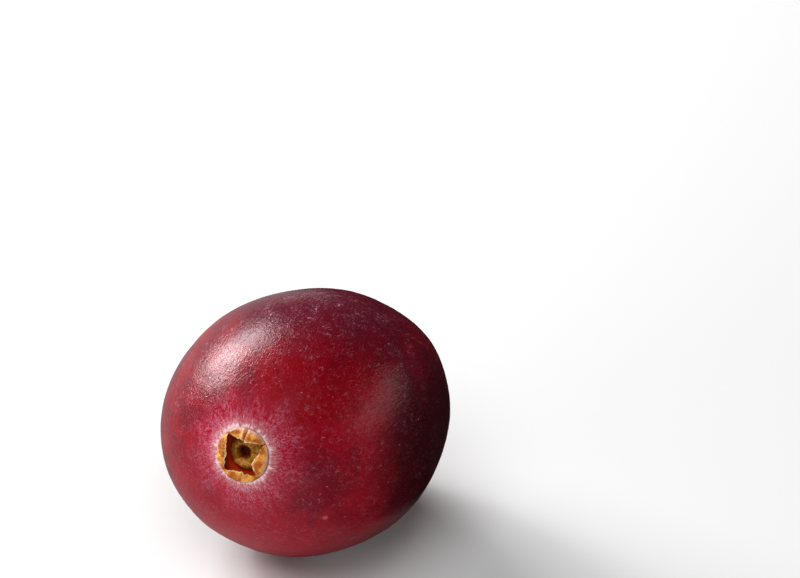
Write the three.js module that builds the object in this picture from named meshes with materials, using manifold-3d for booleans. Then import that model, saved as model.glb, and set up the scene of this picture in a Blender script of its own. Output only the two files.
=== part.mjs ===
// A fresh cranberry with its dried calyx and the broken stub of its stalk, lying on a small flat spot.
//
// Units are millimetres and +Z is up. The origin is at the bottom centre of the whole fruit.
// The fruit is shaped in a frame of its own: X to the right, Y from the blossom end to the stem end,
// Z up, and the middle of the body at its origin. That frame is then tipped nose up and set down.
import * as THREE from "three";
import { mergeVertices } from "three/addons/utils/BufferGeometryUtils.js";
import Module from "manifold-3d";

const wasm = await Module();
wasm.setup();

const radians = THREE.MathUtils.degToRad;
const smoothstep = THREE.MathUtils.smoothstep;

// ---- Driving dimensions of the body ----
const MEAN_RADIUS = 8.0; // of the middle section
const FRONT_LENGTH = 9.45; // middle to blossom end, along the axis
const BACK_LENGTH = 9.4; // middle to stem end, along the axis
const OVALITY = 0.0385; // share by which the section is wider one way and narrower the other
const OVAL_ROLL = radians(28); // the wide way, turned from X towards Z
const OVAL_FADE = [1.9, 5.0]; // radii between which the round ends turn oval
const SOFT_SHAPE = [
  // broad swellings and hollows of the body: angle round the axis, angle towards the stem end,
  // how far the skin stands out or in, and the angle over which that fades
  { around: -4, along: 18, lift: -0.15, fade: 17 },
  { around: 47, along: 25, lift: 0.13, fade: 15 },
  { around: -45, along: 2, lift: 0.07, fade: 20 },
  { around: 110, along: 9, lift: -0.09, fade: 24 },
  { around: -86, along: 8, lift: 0.34, fade: 21 },
];

// ---- The lie of the fruit ----
const NOSE_UP = radians(23.4); // the blossom end is raised by this
const REST_DEPTH = 0.36; // how deep the weight presses the resting spot flat

// ---- Blossom end: collar, basin and calyx. Heights are from the collar plane, outwards ----
const COLLAR_PLANE = 9.27; // distance of the collar plane from the middle
const COLLAR_RADIUS = 1.75;
const COLLAR_LIFT = 0.08;
const COLLAR_SPREAD = 0.35;
const MOUTH_RADIUS = 1.62; // wall that the sepals stand against
const LEDGE_HEIGHT = -0.49; // floor of the groove that the sepals stand in
const SEPAL_FOOT = -0.43;
const SEPAL_THICKNESS = 0.16;
const SEPAL_EDGE_THICKNESS = 0.07;
const SEPAL_ROOT_SHARE = 0.46; // share of a sepal's length below the cleft to its neighbour
const SEPAL_TAPER = 2.2; // gives the free edges their nearly straight run to the tip
const TIP_WIDTH = radians(4);
const CLEFT = radians(1); // half the cleft between two sepals
const SEPALS = [
  // angle of the middle, half the span, and the tip's angle and radius
  { name: "sepal_upper", middle: 87, half: 49, tipAngle: 94, tipRadius: 0.84 },
  { name: "sepal_right", middle: -4, half: 42, tipAngle: -17, tipRadius: 0.82 },
  { name: "sepal_lower", middle: -89, half: 43, tipAngle: -83, tipRadius: 1.0 },
  { name: "sepal_left", middle: -178, half: 46, tipAngle: -180, tipRadius: 0.93 },
];

// ---- Stem end: dimple, scar ring, socket and stub. Depths are from the body's back end, inwards ----
const DIMPLE_DEPTH = 0.22;
const DIMPLE_SPREAD = 1.5;
const SCAR_RADIUS = 0.74;
const SCAR_LIFT = 0.09;
const SCAR_SPREAD = 0.14;
const SOCKET_RADIUS = 0.53;
const SOCKET_DEPTH = 0.8;
const STUB_RADIUS = 0.48;
const STUB_GAP = 0.05;
const STUB_TOP = 0.06; // depth of the stub's broken end

// ---- Fineness of the solids ----
const BODY_TURNS = 56;
const BODY_STEPS = 34;
const SEPAL_ACROSS = 9;
const SEPAL_ALONG = 11;
const STUB_TURNS = 16;

const bell = (distance, spread) => Math.exp(-((distance / spread) ** 2));

// A closed mesh as a manifold-3d solid, and back.
function toSolid(geometry) {
  const bare = geometry.clone();
  bare.deleteAttribute("normal");
  bare.deleteAttribute("uv");
  const merged = mergeVertices(bare, 1e-4);
  const vertProperties = merged.attributes.position.array;
  const triVerts = new Uint32Array(merged.index.array);
  return new wasm.Manifold(new wasm.Mesh({ numProp: 3, vertProperties, triVerts }));
}

function toGeometry(solid) {
  const mesh = solid.getMesh();
  const geometry = new THREE.BufferGeometry();
  geometry.setAttribute("position", new THREE.BufferAttribute(mesh.vertProperties, 3));
  geometry.setIndex(new THREE.BufferAttribute(mesh.triVerts, 1));
  geometry.computeVertexNormals();
  return geometry;
}

// Moves each vertex of a geometry by a function of its place.
function reshape(geometry, move) {
  const position = geometry.attributes.position;
  const point = new THREE.Vector3();
  for (let i = 0; i < position.count; i += 1) {
    move(point.fromBufferAttribute(position, i));
    position.setXYZ(i, point.x, point.y, point.z);
  }
  geometry.computeVertexNormals();
  return geometry;
}

// ---- Body ----

// Outline of the basin inside the calyx, from the axis out to the collar: radius and height.
function basinOutline() {
  return [
    [0, -1.3],
    [0.2, -1.27],
    [0.33, -1.08],
    [0.4, -0.8],
    [0.5, -0.64],
    [0.7, -0.57],
    [0.92, -0.61],
    [1.1, -0.72],
    [1.24, -0.7],
    [1.36, LEDGE_HEIGHT - 0.03],
    [1.58, LEDGE_HEIGHT],
    [MOUTH_RADIUS, LEDGE_HEIGHT + 0.05],
    [MOUTH_RADIUS, -0.04],
    [MOUTH_RADIUS + 0.04, 0.02],
  ].map(([radius, height]) => new THREE.Vector2(radius, -COLLAR_PLANE - height));
}

// Outline of the skin from the collar round to the scar ring: an egg-shaped arc, with the lifted collar
// at one end and the dimple with its scar ring at the other.
function skinOutline() {
  const start = Math.asin((MOUTH_RADIUS + 0.12) / MEAN_RADIUS);
  const end = Math.PI - Math.asin(SCAR_RADIUS / MEAN_RADIUS);
  const points = [];
  for (let i = 0; i <= BODY_STEPS; i += 1) {
    // steps are closer together at both ends, where the outline turns
    const share = i / BODY_STEPS;
    const eased = share - Math.sin(2 * Math.PI * share) * 0.09;
    const turn = start + (end - start) * eased;
    const radius = MEAN_RADIUS * Math.sin(turn);
    const front = Math.cos(turn) > 0;
    const along = -(front ? FRONT_LENGTH : BACK_LENGTH) * Math.cos(turn);
    const collar = COLLAR_LIFT * bell(radius - COLLAR_RADIUS, COLLAR_SPREAD);
    const dimple = DIMPLE_DEPTH * bell(radius, DIMPLE_SPREAD);
    const scar = SCAR_LIFT * bell(radius - SCAR_RADIUS, SCAR_SPREAD);
    points.push(new THREE.Vector2(radius, front ? along - collar : along - dimple + scar));
  }
  return points;
}

// Outline of the socket that holds the stub, from the scar ring in to the axis.
function socketOutline() {
  return [
    [SOCKET_RADIUS + 0.06, DIMPLE_DEPTH - 0.02],
    [SOCKET_RADIUS, DIMPLE_DEPTH + 0.06],
    [SOCKET_RADIUS, SOCKET_DEPTH - 0.08],
    [SOCKET_RADIUS - 0.1, SOCKET_DEPTH],
    [0, SOCKET_DEPTH],
  ].map(([radius, depth]) => new THREE.Vector2(radius, BACK_LENGTH - depth));
}

// Gives the round body its oval section and its broad swellings and hollows.
function growUneven(point) {
  const radius = Math.hypot(point.x, point.z);
  const around = Math.atan2(point.z, point.x);
  const fullness = smoothstep(radius, ...OVAL_FADE);
  const oval = 1 + OVALITY * fullness * Math.cos(2 * (around - OVAL_ROLL));
  point.x *= oval;
  point.z *= oval;
  const outward = point.clone().normalize();
  for (const { around: turn, along, lift, fade } of SOFT_SHAPE) {
    const level = Math.cos(radians(along));
    const middle = new THREE.Vector3(
      level * Math.cos(radians(turn)),
      Math.sin(radians(along)),
      level * Math.sin(radians(turn)),
    );
    point.addScaledVector(outward, lift * fullness * bell(outward.angleTo(middle), radians(fade)));
  }
}

// The whole body, with the resting spot cut flat by the surface it lies on.
function bodyGeometry(fruit) {
  const outline = [...basinOutline(), ...skinOutline(), ...socketOutline()];
  const body = reshape(new THREE.LatheGeometry(outline, BODY_TURNS), growUneven);
  const standing = body.clone().applyMatrix4(fruit.matrix);
  standing.computeBoundingBox();
  const surface = standing.boundingBox.min.z + REST_DEPTH;
  const reach = 4 * MEAN_RADIUS;
  const block = new THREE.BoxGeometry(reach, reach, reach);
  block.translate(0, 0, surface - reach / 2);
  block.applyMatrix4(fruit.matrix.clone().invert());
  return toGeometry(toSolid(body).subtract(toSolid(block)));
}

// ---- Calyx ----

// Middle line of a sepal from its foot to its tip, as radius and height: up the wall of the mouth, then
// curled inwards over the basin.
function sepalLine(tipRadius) {
  const wall = MOUTH_RADIUS - 0.05 - SEPAL_THICKNESS / 2;
  const reach = wall - tipRadius;
  return new THREE.SplineCurve([
    new THREE.Vector2(wall - 0.01, SEPAL_FOOT),
    new THREE.Vector2(wall, -0.12),
    new THREE.Vector2(wall - 0.01, 0.14),
    new THREE.Vector2(wall - reach * 0.16, 0.33),
    new THREE.Vector2(wall - reach * 0.5, 0.42),
    new THREE.Vector2(tipRadius, 0.34),
  ]);
}

// One sepal: a thin plate bent round the mouth and curled in, its free edges running to a tip.
function sepalGeometry({ middle, half, tipAngle, tipRadius }) {
  const line = sepalLine(tipRadius);
  const plate = new THREE.BoxGeometry(2, 1, 1, SEPAL_ACROSS, SEPAL_ALONG, 1);
  return reshape(plate, (point) => {
    const across = point.x;
    const along = point.y + 0.5;
    const free = Math.max(0, (along - SEPAL_ROOT_SHARE) / (1 - SEPAL_ROOT_SHARE));
    const halfAngle = Math.max(TIP_WIDTH, (radians(half) - CLEFT) * (1 - free ** SEPAL_TAPER));
    const centre = radians(middle) + radians(tipAngle - middle) * free ** 2;
    const angle = centre + across * halfAngle;
    const at = line.getPointAt(along);
    const run = line.getTangentAt(along);
    const thickness = THREE.MathUtils.lerp(SEPAL_THICKNESS, SEPAL_EDGE_THICKNESS, free);
    const radius = at.x + run.y * point.z * thickness;
    const height = at.y - run.x * point.z * thickness;
    point.set(radius * Math.cos(angle), -COLLAR_PLANE - height, radius * Math.sin(angle));
  });
}

// ---- Stem end ----

// The broken stub of the stalk, seated in its socket.
function stubGeometry() {
  const foot = SOCKET_DEPTH - STUB_GAP;
  const outline = [
    [0, STUB_TOP + 0.05],
    [0.16, STUB_TOP + 0.07],
    [0.3, STUB_TOP],
    [STUB_RADIUS - 0.06, STUB_TOP + 0.02],
    [STUB_RADIUS, STUB_TOP + 0.1],
    [STUB_RADIUS, foot - 0.12],
    [STUB_RADIUS - 0.1, foot],
    [0, foot],
  ].map(([radius, depth]) => new THREE.Vector2(radius, BACK_LENGTH - depth));
  return new THREE.LatheGeometry(outline.reverse(), STUB_TURNS);
}

// ---- Assembly ----

const skin = new THREE.MeshStandardMaterial({ color: 0x7a0c1c, roughness: 0.34, metalness: 0 });
const drySepal = new THREE.MeshStandardMaterial({ color: 0xc47a34, roughness: 0.7, metalness: 0 });
const dryStalk = new THREE.MeshStandardMaterial({ color: 0x7c4a22, roughness: 0.8, metalness: 0 });

function addPiece(group, name, geometry, material) {
  const mesh = new THREE.Mesh(geometry, material);
  mesh.name = name;
  group.add(mesh);
}

const fruit = new THREE.Group();
fruit.rotation.x = -NOSE_UP;
fruit.updateMatrix();
addPiece(fruit, "berry", bodyGeometry(fruit), skin);
for (const sepal of SEPALS) addPiece(fruit, sepal.name, sepalGeometry(sepal), drySepal);
addPiece(fruit, "pedicel_stub", stubGeometry(), dryStalk);

// The whole fruit stands on Z = 0 with the middle of its bounding box over the origin.
const cranberry = new THREE.Group();
cranberry.add(fruit);
const box = new THREE.Box3().setFromObject(cranberry, true);
const centre = box.getCenter(new THREE.Vector3());
fruit.position.set(-centre.x, -centre.y, -box.min.z);

export default cranberry;
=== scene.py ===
"""Looks of a fresh cranberry: glossy skin, dried calyx, broken stalk stub, and a plain studio round it.

Shapes are worked out in millimetres in the fruit's own frame, as the solids are: X to the right, Y from the
blossom end to the stem end, Z up, and the middle of the body at its origin. `Lie` tips that frame nose up
and sets it down in the shared frame, in metres.
"""

import logging
import math
from dataclasses import dataclass, field
from enum import Enum, IntEnum

import bpy
import numpy as np
from mathutils import Euler, Matrix, Vector, noise


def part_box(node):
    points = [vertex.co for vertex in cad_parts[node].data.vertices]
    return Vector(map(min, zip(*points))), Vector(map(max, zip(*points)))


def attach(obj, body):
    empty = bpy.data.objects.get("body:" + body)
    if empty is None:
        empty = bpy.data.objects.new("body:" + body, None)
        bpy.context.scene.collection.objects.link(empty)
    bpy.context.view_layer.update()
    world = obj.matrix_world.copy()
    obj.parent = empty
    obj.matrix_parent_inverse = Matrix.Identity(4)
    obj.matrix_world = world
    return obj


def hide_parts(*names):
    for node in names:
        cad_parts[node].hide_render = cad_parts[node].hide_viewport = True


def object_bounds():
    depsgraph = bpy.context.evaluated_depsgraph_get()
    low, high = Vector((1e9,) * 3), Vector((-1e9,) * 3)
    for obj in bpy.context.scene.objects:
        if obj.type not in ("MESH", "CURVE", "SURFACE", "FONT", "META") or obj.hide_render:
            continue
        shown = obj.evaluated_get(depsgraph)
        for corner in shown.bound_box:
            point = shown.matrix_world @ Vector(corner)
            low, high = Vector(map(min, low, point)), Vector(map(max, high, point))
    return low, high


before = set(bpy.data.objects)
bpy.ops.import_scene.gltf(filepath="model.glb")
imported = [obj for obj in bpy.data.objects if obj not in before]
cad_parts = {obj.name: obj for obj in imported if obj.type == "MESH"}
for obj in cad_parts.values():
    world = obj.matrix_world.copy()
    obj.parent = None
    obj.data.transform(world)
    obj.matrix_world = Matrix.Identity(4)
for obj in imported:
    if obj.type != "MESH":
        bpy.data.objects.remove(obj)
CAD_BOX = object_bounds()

logger = logging.getLogger("cranberry")

Socket = bpy.types.NodeSocket
Value = float | Socket
Colour = tuple[float, float, float]
Reach = tuple[float, float]
Faces = list[tuple[int, ...]]

MM = 0.001
BODY = "root"
SOLID_BERRY = "berry"


def tone(hex_code: str) -> Colour:
    """Turns a screen colour such as "7a0c1c" into linear light.

    Args:
        hex_code: Six hexadecimal digits, red first.

    Returns:
        The linear red, green and blue.
    """
    levels = [int(hex_code[i : i + 2], 16) / 255 for i in (0, 2, 4)]
    return tuple(v / 12.92 if v <= 0.04045 else ((v + 0.055) / 1.055) ** 2.4 for v in levels)


def bell(distance: np.ndarray, spread: float) -> np.ndarray:
    """A smooth bump of height 1 that fades over the spread."""
    return np.exp(-((distance / spread) ** 2))


def ease(value: np.ndarray, low: float, high: float) -> np.ndarray:
    """Smooth step from 0 at low to 1 at high."""
    share = np.clip((value - low) / (high - low), 0.0, 1.0)
    return share * share * (3.0 - 2.0 * share)


def grain(points: np.ndarray, size: float, seed: float) -> np.ndarray:
    """Smooth noise between about -1 and 1 at each point.

    Args:
        points: Places, one row each.
        size: Distance over which the noise changes, in the units of the points.
        seed: Shifts the noise to another part of its field.

    Returns:
        One value for each row.
    """
    shift = Vector((seed, 2.3 * seed, -1.7 * seed))
    return np.array([noise.noise(Vector(row) / size + shift) for row in points.tolist()])


# ---------------------------------------------------------------------------------------------------------
# Shading
# ---------------------------------------------------------------------------------------------------------


class Shade:
    """Builds one material's node tree.

    Attributes:
        material: The material.
        nodes: Its nodes.
        links: The links between them.
        surface: Its Principled surface.
    """

    def __init__(self, name: str) -> None:
        """Starts the material with an empty Principled surface.

        Args:
            name: The material's name.
        """
        self.material = bpy.data.materials.new(name)
        self.material.use_nodes = True
        self.nodes = self.material.node_tree.nodes
        self.links = self.material.node_tree.links
        self.surface = self.nodes["Principled BSDF"]

    def feed(self, socket: Socket, value: Value | Colour | Vector) -> None:
        """Links a socket into another, or sets its value.

        Args:
            socket: The input to fill.
            value: An output socket, a number, a colour or a vector.
        """
        if isinstance(value, Socket):
            self.links.new(value, socket)
        elif isinstance(value, tuple) and socket.type == "RGBA":
            socket.default_value = (*value, 1.0)
        else:
            socket.default_value = value

    def node(self, kind: str, **settings: object) -> bpy.types.Node:
        """Adds a node.

        Args:
            kind: The node's type.
            **settings: Its options.

        Returns:
            The node.
        """
        made = self.nodes.new(kind)
        for key, value in settings.items():
            setattr(made, key, value)
        return made

    def math(self, operation: str, *values: Value, clamp: bool = False) -> Socket:
        """One step of arithmetic.

        Args:
            operation: The Math node's operation.
            *values: Its inputs in order.
            clamp: Whether the result is held between 0 and 1.

        Returns:
            The result.
        """
        made = self.node("ShaderNodeMath", operation=operation, use_clamp=clamp)
        for socket, value in zip(made.inputs, values):
            self.feed(socket, value)
        return made.outputs[0]

    def plus(self, first: Value, second: Value) -> Socket:
        """The sum of two values."""
        return self.math("ADD", first, second)

    def minus(self, first: Value, second: Value) -> Socket:
        """The first value less the second."""
        return self.math("SUBTRACT", first, second)

    def times(self, first: Value, second: Value) -> Socket:
        """The product of two values."""
        return self.math("MULTIPLY", first, second)

    def most(self, first: Value, *others: Value) -> Value:
        """The largest of several values.

        Args:
            first: The first value.
            *others: The others.

        Returns:
            The largest.
        """
        for other in others:
            first = self.math("MAXIMUM", first, other)
        return first

    def sway(self, noise: Socket, amount: float) -> Socket:
        """Shifts noise to lie round 0 and scales it by an amount."""
        return self.times(self.minus(noise, 0.5), amount)

    def vector(self, operation: str, *values: Value | Vector) -> Socket:
        """One step of vector arithmetic; a number scales a vector or is a result's length.

        Args:
            operation: The Vector Math node's operation.
            *values: Its vector inputs in order, or the vector and the number for SCALE.

        Returns:
            The result.
        """
        made = self.node("ShaderNodeVectorMath", operation=operation)
        if operation == "SCALE":
            self.feed(made.inputs["Vector"], values[0])
            self.feed(made.inputs["Scale"], values[1])
        else:
            for socket, value in zip(made.inputs, values):
                self.feed(socket, value)
        return made.outputs["Value" if operation in ("LENGTH", "DOT_PRODUCT") else "Vector"]

    def join(self, x: Value, y: Value, z: Value) -> Socket:
        """Makes a vector of three numbers.

        Args:
            x: The first number.
            y: The second number.
            z: The third number.

        Returns:
            The vector.
        """
        made = self.node("ShaderNodeCombineXYZ")
        for socket, value in zip(made.inputs, (x, y, z)):
            self.feed(socket, value)
        return made.outputs[0]

    def split(self, vector: Socket) -> list[Socket]:
        """Takes a vector apart.

        Args:
            vector: The vector.

        Returns:
            Its three numbers.
        """
        made = self.node("ShaderNodeSeparateXYZ")
        self.feed(made.inputs[0], vector)
        return list(made.outputs)

    def stored(self, name: str) -> Socket:
        """A number that is stored at each point of the mesh."""
        return self.node("ShaderNodeAttribute", attribute_name=name).outputs["Fac"]

    def step(self, value: Value, low: float, high: float) -> Socket:
        """Smooth step from 0 at low to 1 at high.

        Args:
            value: The value that is stepped.
            low: Where the step is 0; it may be the larger.
            high: Where the step is 1.

        Returns:
            The step.
        """
        made = self.node("ShaderNodeMapRange", interpolation_type="SMOOTHSTEP")
        flip = low > high
        self.feed(made.inputs["Value"], value)
        made.inputs["From Min"].default_value = min(low, high)
        made.inputs["From Max"].default_value = max(low, high)
        made.inputs["To Min"].default_value = 1.0 if flip else 0.0
        made.inputs["To Max"].default_value = 0.0 if flip else 1.0
        return made.outputs[0]

    def noise(
        self,
        where: Socket,
        size: float,
        detail: float = 2.0,
        roughness: float = 0.5,
        distortion: float = 0.0,
    ) -> Socket:
        """Smooth noise between 0 and 1.

        Args:
            where: The place, in millimetres.
            size: Distance over which the noise changes, in millimetres.
            detail: Finer layers added.
            roughness: Strength of each finer layer.
            distortion: How far the noise is twisted.

        Returns:
            The noise.
        """
        made = self.node("ShaderNodeTexNoise", noise_dimensions="3D")
        self.feed(made.inputs["Vector"], where)
        made.inputs["Scale"].default_value = 1.0 / size
        made.inputs["Detail"].default_value = detail
        made.inputs["Roughness"].default_value = roughness
        made.inputs["Distortion"].default_value = distortion
        return made.outputs["Fac"]

    def threads(self, where: Socket, size: float, width: float, **options: float) -> Socket:
        """Thin winding lines where smooth noise crosses its middle.

        Args:
            where: The place, in millimetres.
            size: Size of the noise, in millimetres.
            width: How far the noise may be from its middle on a line.
            **options: The noise's other settings.

        Returns:
            A mask, 1 on each line and 0 away from it.
        """
        off = self.math("ABSOLUTE", self.minus(self.noise(where, size, **options), 0.5))
        return self.step(off, width, 0.0)

    def specks(self, where: Socket, spacing: float, radius: float) -> Socket:
        """Small round dots, strewn at random.

        Args:
            where: The place, in millimetres.
            spacing: Mean distance between dots.
            radius: Radius of a dot.

        Returns:
            A mask, 1 at the dots' middles.
        """
        made = self.node("ShaderNodeTexVoronoi", feature="F1", distance="EUCLIDEAN")
        self.feed(made.inputs["Vector"], where)
        made.inputs["Scale"].default_value = 1.0 / spacing
        made.inputs["Randomness"].default_value = 1.0
        return self.step(made.outputs["Distance"], radius / spacing, 0.4 * radius / spacing)

    def blend(self, share: Value, first: Value, second: Value) -> Socket:
        """Blends two numbers.

        Args:
            share: 0 for the first number, 1 for the second.
            first: The number at 0.
            second: The number at 1.

        Returns:
            The blended number.
        """
        made = self.node("ShaderNodeMix", data_type="FLOAT")
        sockets = [socket for socket in made.inputs if socket.type == "VALUE"]
        for socket, value in zip(sockets, (share, first, second)):
            self.feed(socket, value)
        return made.outputs[0]

    def mix(self, share: Value, first: Colour | Socket, second: Colour | Socket) -> Socket:
        """Blends two colours.

        Args:
            share: 0 for the first colour, 1 for the second.
            first: The colour at 0.
            second: The colour at 1.

        Returns:
            The blended colour.
        """
        made = self.node("ShaderNodeMix", data_type="RGBA")
        colours = [socket for socket in made.inputs if socket.type == "RGBA"]
        self.feed(made.inputs[0], share)
        self.feed(colours[0], first)
        self.feed(colours[1], second)
        return next(socket for socket in made.outputs if socket.type == "RGBA")

    def bump(self, height: Socket, depth: float) -> Socket:
        """Small relief.

        Args:
            height: The relief, 0 to 1.
            depth: Its full height in millimetres.

        Returns:
            The normal.
        """
        made = self.node("ShaderNodeBump")
        made.inputs["Strength"].default_value = 1.0
        made.inputs["Distance"].default_value = depth * MM
        self.feed(made.inputs["Height"], height)
        return made.outputs[0]

    def set(self, **inputs: Value | Colour) -> None:
        """Fills the surface's inputs, named with _ for a space."""
        for key, value in inputs.items():
            self.feed(self.surface.inputs[key.replace("_", " ")], value)


# ---------------------------------------------------------------------------------------------------------
# The lie of the fruit
# ---------------------------------------------------------------------------------------------------------


def heading(around: float, along: float) -> Vector:
    """Unit vector from the fruit's middle, in the fruit's frame.

    Args:
        around: Angle round the axis, from X towards Z, in degrees.
        along: Angle towards the stem end, in degrees.

    Returns:
        The unit vector.
    """
    around, along = math.radians(around), math.radians(along)
    level = math.cos(along)
    return Vector((level * math.cos(around), math.sin(along), level * math.sin(around)))


@dataclass
class Lie:
    """How the fruit's own frame lies in the shared frame.

    Attributes:
        nose_up: Angle by which the blossom end is raised, in degrees.
        offset: Place of the body's middle in the shared frame, in millimetres.
    """

    nose_up: float = 23.4
    offset: np.ndarray = field(default_factory=lambda: np.zeros(3))

    def tip(self, points: np.ndarray) -> np.ndarray:
        """Turns points from the fruit's frame to the shared frame's directions."""
        turn = np.array(Matrix.Rotation(-math.radians(self.nose_up), 3, "X"))
        return points @ turn.T

    def set_down(self, outline: np.ndarray) -> None:
        """Finds the offset that puts the smooth body where the solid berry is.

        Args:
            outline: The smooth body's points in the fruit's frame.
        """
        tipped = self.tip(outline)
        low, high = (np.array(corner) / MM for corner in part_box(SOLID_BERRY))
        middle = (tipped.min(axis=0) + tipped.max(axis=0)) / 2
        self.offset = (low + high) / 2 - middle
        self.offset[2] = high[2] - tipped[:, 2].max()

    def place(self, points: np.ndarray) -> np.ndarray:
        """Carries points from the fruit's frame, in millimetres, to the shared frame, in metres."""
        return (self.tip(points) + self.offset) * MM

    def rest(self, points: np.ndarray, softness: float = 0.06) -> np.ndarray:
        """Presses placed points flat where they would pass below the surface.

        Args:
            points: Places in the shared frame, in metres.
            softness: Height over which the flat turns into the curve, in millimetres.

        Returns:
            The pressed points.
        """
        pressed = points.copy()
        height = points[:, 2] / MM
        pressed[:, 2] = MM * 0.5 * (height + np.sqrt(height**2 + softness**2)) - MM * softness * 0.5
        pressed[:, 2] = np.maximum(pressed[:, 2], 0.0)
        return pressed

    def place_on_fruit(self, shade: Shade) -> Socket:
        """Gives a material the place in the fruit's frame, in millimetres.

        Args:
            shade: The material being built.

        Returns:
            The place as a vector.
        """
        coordinates = shade.node("ShaderNodeTexCoord").outputs["Object"]
        scaled = shade.vector("SCALE", coordinates, 1.0 / MM)
        moved = shade.vector("SUBTRACT", scaled, Vector(self.offset))
        turned = shade.node("ShaderNodeVectorRotate", rotation_type="X_AXIS")
        turned.inputs["Angle"].default_value = math.radians(self.nose_up)
        shade.feed(turned.inputs["Vector"], moved)
        return turned.outputs[0]


# ---------------------------------------------------------------------------------------------------------
# Finishes
# ---------------------------------------------------------------------------------------------------------


class Mark(Enum):
    """The numbers that are stored at the points of a sepal's mesh, for its finish to read."""

    RIM = "rim"
    INSIDE = "inside"
    RIB = "rib"
    FOOT = "foot"
    # Painted shade along a sepal's crease.
    VALLEY = "valley"
    # Painted highlight on the ridge beside a sepal's crease.
    RIDGE = "ridge"


@dataclass(frozen=True)
class Patch:
    """A soft-edged area of the skin.

    Attributes:
        around: Angle round the axis of its middle, from X towards Z, in degrees.
        along: Angle of its middle towards the stem end, in degrees.
        spread: Angle from its middle to its edge, in degrees.
        strength: How strongly it shows, 0 to 1.
    """

    around: float
    along: float
    spread: float
    strength: float

    def mask(self, shade: Shade, direction: Socket, stray: Value) -> Socket:
        """The patch's mask in a material.

        Args:
            shade: The material being built.
            direction: Unit vector from the fruit's middle.
            stray: Noise around 0 that breaks up the edge.

        Returns:
            The mask, up to the patch's strength.
        """
        middle = heading(self.around, self.along)
        level = shade.plus(shade.vector("DOT_PRODUCT", direction, middle), stray)
        inside = shade.step(level, math.cos(math.radians(self.spread)), 1.0)
        return shade.times(inside, self.strength)


@dataclass(frozen=True)
class SkinMap:
    """Places on the skin that its patterns are drawn by, in millimetres.

    Attributes:
        shade: The material being built.
        place: Place in the fruit's frame.
        far: The place, drawn out along the fruit.
        radius: Distance from the axis.
        turn: Unit vector away from the axis.
        direction: Unit vector from the fruit's middle.
        front: 1 towards the blossom end and 0 towards the stem end.
        stray: Noise around 0 that breaks up the edges of patches.
    """

    shade: Shade
    place: Socket
    far: Socket
    radius: Socket
    turn: Socket
    direction: Socket
    front: Socket
    stray: Socket

    def patches(self, kind: tuple[Patch, ...]) -> Socket:
        """The strongest of several patches at each place."""
        return self.shade.most(*(patch.mask(self.shade, self.direction, self.stray) for patch in kind))

    def around_calyx(self, reach: Reach) -> Socket:
        """Fades out from the calyx over a reach."""
        return self.shade.times(self.shade.step(self.radius, *reach), self.front)

    def fanned(self, stretch: float) -> Socket:
        """Place that gives the same number of streaks at every distance from the calyx.

        Args:
            stretch: How fast a pattern changes outwards; less makes longer streaks.

        Returns:
            The place, to read noise at.
        """
        outwards = self.shade.join(0.0, self.shade.times(self.radius, stretch), 0.0)
        return self.shade.vector("ADD", self.shade.vector("SCALE", self.turn, 2.6), outwards)


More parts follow.
